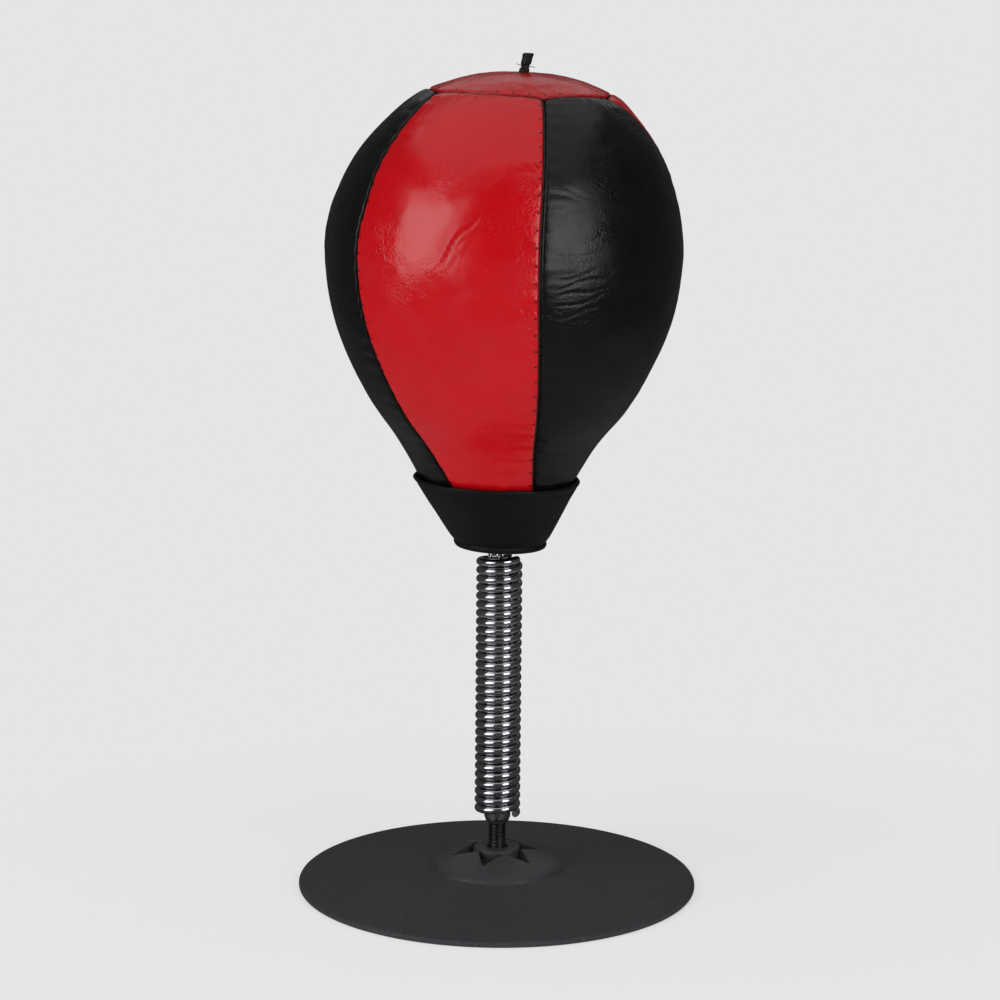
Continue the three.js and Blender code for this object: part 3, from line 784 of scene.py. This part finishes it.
# ---------------------------------------------------------------- spring
FREE = PLUG_LENGTH - WIRE_R
FREE_LOW = SPRING_BOTTOM - WIRE_R + PLUG_LENGTH
first_turn = FREE / PITCH
bend_turns = (TURNS - 2 * first_turn) / 6
cuts = [0] + [first_turn + k * bend_turns for k in range(1, 6)] + [TURNS]
HAIR = 0.0004  # of a turn, left between one piece of wire and the next
WIRE_SIDES = 20
for j in range(6):
    first, last = cuts[j] + (HAIR if j else 0), cuts[j + 1] - (HAIR if j < 5 else 0)
    turns = np.linspace(first, last, round(40 * (cuts[j + 1] - cuts[j])))
    path = around(COIL_R, WIRE_END + 360 * turns, SPRING_BOTTOM + WIRE_PITCH * turns)
    radii = np.full(len(turns), WIRE_R)
    if j == 0:
        radii[:2] = WIRE_R * np.array([0.86, 0.97])
    if j == 5:
        radii[-2:] = WIRE_R * np.array([0.97, 0.86])
    outward = around(1.0, WIRE_END + 360 * turns, 0 * turns)
    tangent = np.gradient(path, axis=0)
    tangent /= np.linalg.norm(tangent, axis=1)[:, None]
    across = np.cross(tangent, outward)
    turn = np.linspace(0, 2 * np.pi, WIRE_SIDES, endpoint=False)
    ring = np.cos(turn)[None, :, None] * outward[:, None] + np.sin(turn)[None, :, None] * across[:, None]
    points = (path[:, None] + radii[:, None, None] * ring).reshape(-1, 3)
    faces = grid_faces(len(path), WIRE_SIDES, wrap_cols=True) + end_faces(len(path), WIRE_SIDES)
    wire = make(f"spring_wire_{j + 1}", points, faces, chrome, None, slot="spring_chrome", sharp=50)
    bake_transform(wire)
    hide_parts(*([f"spring_coils_{j + 1}"] + (["spring_coils_7"] if j == 5 else [])))

# ---------------------------------------------------------------- stud, plugs and washer
def threaded(name, radius, pitch, bottom, top, material, body, slot):
    """A stud with a real helical thread, flat ends and a chamfered tip."""
    sides, depth, rows_a_turn = 48, 0.62, 8
    rows = int((top - bottom) / pitch * rows_a_turn)
    z = np.linspace(bottom, top, rows)[:, None]
    turn = np.linspace(0, 1, sides, endpoint=False)[None, :]
    phase = (z / pitch - turn) % 1.0
    tooth = np.clip(1.35 * (1 - np.abs(2 * phase - 1)) - 0.18, 0, 1)
    fade = np.clip((top - z) / 1.2, 0, 1)
    r = radius - depth * (1 - tooth) - (1 - fade) * 0.55
    grid = around(r, 360 * turn, z + 0 * turn)
    return make(name, *capped(grid, bottom, top), material, body, slot=slot)


stud = threaded("threaded_stud", STUD_R, 1.25, 8.35, STUD_TOP, dark_steel, "stem", "dark_steel")
foot = turned([(0, 7.2), (6.6, 7.2), (7, 7.5), (7, 8.4), (3.9, 8.4), (0, 8.4)], 48)
make("stud_foot", *foot, dark_steel, "stem", slot="dark_steel", sharp=40)
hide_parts("base_stud")

bore = STUD_R + 0.3
plug_top = FREE_LOW
profile = [
    (bore, 28.35), (bore + 0.12, 28.2), (bore + 0.35, 28.25), (bore + 0.75, 28.75), (PLUG_R - 0.35, 30.2),
    (PLUG_R - 0.1, 30.75), (PLUG_R, 31.3), (PLUG_R, plug_top - 0.4), (PLUG_R - 0.4, plug_top), (bore, plug_top),
]
profile = np.array(profile)
grid = around(profile[:, :1], np.linspace(0, 360, 64, endpoint=False)[None, :], profile[:, 1:])
faces = grid_faces(len(profile), 64, True, True)
plug = make("lower_plug", grid.reshape(-1, 3), faces, plug_chrome, "stem", slot="chrome", sharp=35)
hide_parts("lower_spring_plug")


def hexagonal_plug():
    """The upper plug: a round shank inside the spring, under a hexagon with a rounded top and bottom."""
    cols, hex_r = 144, 5.9
    turn = np.linspace(0, 360, cols, endpoint=False)[None, :]
    shank_top = SPRING_BOTTOM + TURNS * PITCH + WIRE_R - LEAN_Z
    hex_top = HOLDER_BOTTOM - 1.7
    hexagon = hex_r * math.cos(math.pi / 6) / np.cos(np.radians(np.abs(turn % 60 - 30)))
    rows = [
        (3.2, shank_top - PLUG_LENGTH, 0), (PLUG_R - 0.4, shank_top - PLUG_LENGTH, 0),
        (PLUG_R, shank_top - PLUG_LENGTH + 0.4, 0), (PLUG_R, shank_top + 0.1, 0), (5.0, shank_top + 0.16, 0),
        (5.15, shank_top + 0.2, 0.6), (hex_r, shank_top + 0.55, 1), (hex_r, hex_top - 0.4, 1),
        (5.2, hex_top - 0.05, 0.6), (4.9, hex_top, 0), (3.2, hex_top, 0),
    ]
    grid = []
    for radius, z, share in rows:
        r = radius * (1 - share) + share * np.minimum(hexagon, radius)
        grid.append(around(r, turn, z)[0])
    grid = np.array(grid)
    faces = grid_faces(len(rows), cols, True, True)
    made = make("hexagonal_plug", grid.reshape(-1, 3), faces, plug_chrome, "head", HEAD, "chrome", sharp=28)
    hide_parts("upper_spring_plug")


hexagonal_plug()


# ---------------------------------------------------------------- suction cup
UNDERSIDE_ROWS = 16  # the first rings, up to the outer edge


def suction_cup():
    """The moulded rubber base: sealing ring, cone, raised pad, star-shaped recess and boss, hollow underneath."""
    cols = 432
    degrees = np.linspace(0, 360, cols, endpoint=False)[None, :]
    sector = np.abs((degrees - STAR_TURN + 30) % 60 - 30)
    tip = np.array([STAR_TIP_R, 0.0])
    notch = STAR_INNER_R * np.array([math.cos(math.pi / 6), math.sin(math.pi / 6)])
    across = np.array([notch[1] - tip[1], tip[0] - notch[0]])
    ray = np.stack([np.cos(np.radians(sector)), np.sin(np.radians(sector))], -1)
    star = (across @ tip) / (ray @ across)
    star = -0.5 * np.log(np.exp(-star / 0.5) + np.exp(-(STAR_TIP_R - 0.35) / 0.5))
    pad = [(10, 17.3), (11, 16.95), (15, 15.75), (21, 13.95), (27, 11.95), (29.0, 10.95), (29.9, 10.3)]
    top = spline(pad, 12)[0]
    bore, one = STUD_R + 0.3, np.ones((1, cols))
    rows, polish = [], []

    def surface(r):
        return np.interp(r, top[:, 0], top[:, 1])

    def floor_z(r):
        return 11.6 + (r - BOSS_R) * 0.167

    def ring(r, z, gloss=0.0):
        rows.append(around(r * one, degrees, z * one))
        polish.append(gloss)

    for r, z in [
        (6, 5.5), (15, 5.4), (30, 5.2), (45, 4.1), (60, 2.9), (70, 1.75), (80, 0.5), (82.6, 0.04), (83.2, 0.0),
        (86.6, 0.0), (87.1, 0.12), (87.4, 0.5), (87.5, 1.1), (87.45, 1.7), (87.2, 2.2), (86.8, 2.55), (86.2, 2.72),
        (85.2, 2.84),
    ]:
        ring(r, z)
    for r in np.linspace(84, 34, 62):
        bow = 0.10 * np.sin(np.pi * (84 - r) / 50)
        ring(r, np.interp(r, [31.6, 60, 86.8], [8.55, 5.45, 2.62]) + bow)
    for r, z, gloss in [
        (32.6, 8.52, 0), (31.6, 8.62, 0), (31.1, 8.74, 0.2), (30.75, 9.0, 0.6), (30.5, 9.4, 1), (30.3, 9.85, 1),
        (29.95, 10.25, 1),
    ]:
        ring(r, z, gloss)
    for t in np.linspace(0.02, 1, 30) ** 0.9:
        r = 29.9 + t * (star + 0.42 - 29.9)
        ring(r, surface(r), 0.85)
    for inset, drop, gloss in ((0.22, 0.06, 0.9), (0.08, 0.25, 0.8), (0.0, 0.6, 0.3)):
        ring(star + inset, surface(star + inset) - drop, gloss)
    for share in (0.35, 0.7):
        ring(star - 0.12 * share, surface(star) * (1 - share) + floor_z(star) * share, 0.1)
    ring(star - 0.30, floor_z(star) + 0.25, 0.1)
    for t in np.linspace(0, 1, 9):
        r = (star - 0.6) * (1 - t) + (BOSS_R + 0.3) * t
        r = np.maximum(r, BOSS_R + 0.26)
        ring(r, floor_z(r) + (0.12 if t in (0, 1) else 0), 0.15)
    for r, z, gloss in [
        (10.1, 12.0, 0.2), (10.02, 13.6, 0.3), (10.0, 15.4, 0.5), (9.98, 16.7, 0.8), (9.85, 17.05, 0.9),
        (9.55, 17.26, 0.9), (9.0, 17.32, 0.8), (7.0, 17.3, 0.7), (5.2, 17.28, 0.7), (4.6, 17.15, 0.5),
        (4.3, 16.8, 0), (bore, 16.2, 0), (bore, 10.8, 0), (14.3, 10.8, 0), (14.3, 8.4, 0), (7.3, 8.4, 0), (7.3, 6.9, 0),
    ]:
        ring(r, z, gloss)
    grid = np.array(rows).reshape(len(rows), cols, 3)
    radius = np.hypot(grid[..., 0], grid[..., 1])
    above = (grid[..., 2] > 2.6) & (radius > 10.5) & (np.arange(len(rows))[:, None] > UNDERSIDE_ROWS)
    uneven = 0.10 * noise(grid, 26, 51) + 0.05 * noise(grid, 8, 52)
    grid[..., 2] += above * uneven * np.clip((86 - radius) / 6, 0, 1)
    cup = make("rubber_suction_cup", *capped(grid, 5.5, 6.9), base_rubber, "base", slot="base_rubber")
    weigh(cup, "polish", np.concatenate([np.repeat(polish, cols), [0, 0]]))
    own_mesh(cup)
    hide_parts("suction_cup")


suction_cup()

# ---------------------------------------------------------------- CAD nodes that stay
for name, material in {
    "anchor_plate": steel, "head_stud": steel, "rubber_washer": inner_rubber, "holder_base_disc": board,
    "clamp_washer": steel, "neck_block": wood, "tee_nut": steel,
}.items():
    nodes[name].data.materials.clear()
    nodes[name].data.materials.append(material)


# ---------------------------------------------------------------- floor, backdrop, lights and camera
PAPER = 0.783


def paper_material():
    """Pale paper: evenly lit further out, and shaded by the object close to it."""
    n = Nodes("pale paper")
    n.tree.nodes.remove(n.shader)
    place = n.add("TexCoord").outputs["Object"]
    flat = n.add("VectorMath", {0: place, 1: (-0.035, 0.06, 0.0)}, operation="ADD")
    away = n.add("VectorMath", {0: flat.outputs[0]}, operation="LENGTH").outputs["Value"]
    far = n.ramp(away, (0.13, 0.0), (0.33, 1.0))
    near = n.add("BsdfDiffuse", {"Color": (0.50, 0.50, 0.50, 1)}).outputs[0]
    glow = n.add("Emission", {"Color": (1, 1, 1, 1), "Strength": 0.53}).outputs[0]
    both = n.add("AddShader", {0: near, 1: glow}).outputs[0]
    even = n.add("Emission", {"Color": (1, 1, 1, 1), "Strength": PAPER}).outputs[0]
    mixed = n.add("MixShader", {0: far, 1: both, 2: even}).outputs[0]
    n.tree.links.new(mixed, n.tree.nodes["Material Output"].inputs["Surface"])
    return n.material


def card(name, corners, material):
    """A flat card of the set, which no reflection or shadow shows."""
    mesh = bpy.data.meshes.new(name)
    mesh.from_pydata(corners, [], [(0, 1, 2, 3)])
    made = bpy.data.objects.new(name, mesh)
    made.data.materials.append(material)
    bpy.context.scene.collection.objects.link(made)
    made.visible_glossy = False
    made.visible_shadow = False
    return made


paper = paper_material()
FAR = 10.0
FLOOR_Z = -0.0002
WALL_FOOT, WALL_TOP = -1.0, 20.0
ROOM = [(-FAR, -FAR), (FAR, -FAR), (FAR, FAR), (-FAR, FAR)]
card("floor", [(x, y, FLOOR_Z) for x, y in ROOM], paper)
for k in range(4):
    (x0, y0), (x1, y1) = ROOM[k], ROOM[k - 1]
    corners = [(x0, y0, WALL_FOOT), (x1, y1, WALL_FOOT), (x1, y1, WALL_TOP), (x0, y0, WALL_TOP)]
    card(f"backdrop_{k + 1}", corners, paper).visible_diffuse = False


AIM = (0, 0, 0.27)


def softbox(name, azimuth, elevation, distance, size, radiance):
    """An area light at an angle from the front, -Y, towards +X, with an even radiance."""
    light = bpy.data.lights.new(name, "AREA")
    light.shape = "RECTANGLE"
    light.size, light.size_y = size
    light.energy = radiance * math.pi * size[0] * size[1]
    made = bpy.data.objects.new(name, light)
    a, e = math.radians(azimuth), math.radians(elevation)
    offset = Vector((math.sin(a) * math.cos(e), -math.cos(a) * math.cos(e), math.sin(e))) * distance
    made.location = Vector(AIM) + offset
    made.rotation_euler = offset.to_track_quat("Z", "Y").to_euler()
    bpy.context.scene.collection.objects.link(made)


softbox("left_outer", -55, 13, 1.7, (0.95, 1.37), 2.75)
softbox("left_inner", -31, 13, 1.7, (0.30, 1.37), 1.7)
softbox("right", 41, 11, 1.7, (0.92, 1.38), 2.7)
softbox("above", 0, 88, 1.5, (2.6, 2.2), 0.60)
softbox("back", 176, 34, 1.9, (1.7, 0.8), 0.45)

# The room: dim all round, and paler below, where a glossy surface would see the table.
world = bpy.data.worlds.new("studio")
bpy.context.scene.world = world
world.use_nodes = True
sky = world.node_tree
seen = sky.nodes.new("ShaderNodeTexCoord")
parts = sky.nodes.new("ShaderNodeSeparateXYZ")
below = sky.nodes.new("ShaderNodeMapRange")
for socket, value in (("From Min", -0.35), ("From Max", -0.75), ("To Min", 0.05), ("To Max", 0.22)):
    below.inputs[socket].default_value = value
sky.links.new(seen.outputs["Generated"], parts.inputs[0])
sky.links.new(parts.outputs["Z"], below.inputs["Value"])
sky.links.new(below.outputs["Result"], sky.nodes["Background"].inputs["Strength"])
sky.nodes["Background"].inputs["Color"].default_value = (1, 1, 1, 1)

camera = bpy.data.objects.new("camera", bpy.data.cameras.new("camera"))
camera.data.lens = 104.54
camera.data.sensor_width = 36
camera.matrix_world = (
    Matrix.Translation((0, -1.2353, 0.4015))
    @ Matrix.Rotation(math.radians(79.5), 4, "X")
    @ Matrix.Rotation(math.radians(0.5), 4, "Z")
)
bpy.context.scene.collection.objects.link(camera)
bpy.context.scene.camera = camera
bpy.context.scene.view_settings.view_transform = "Standard"
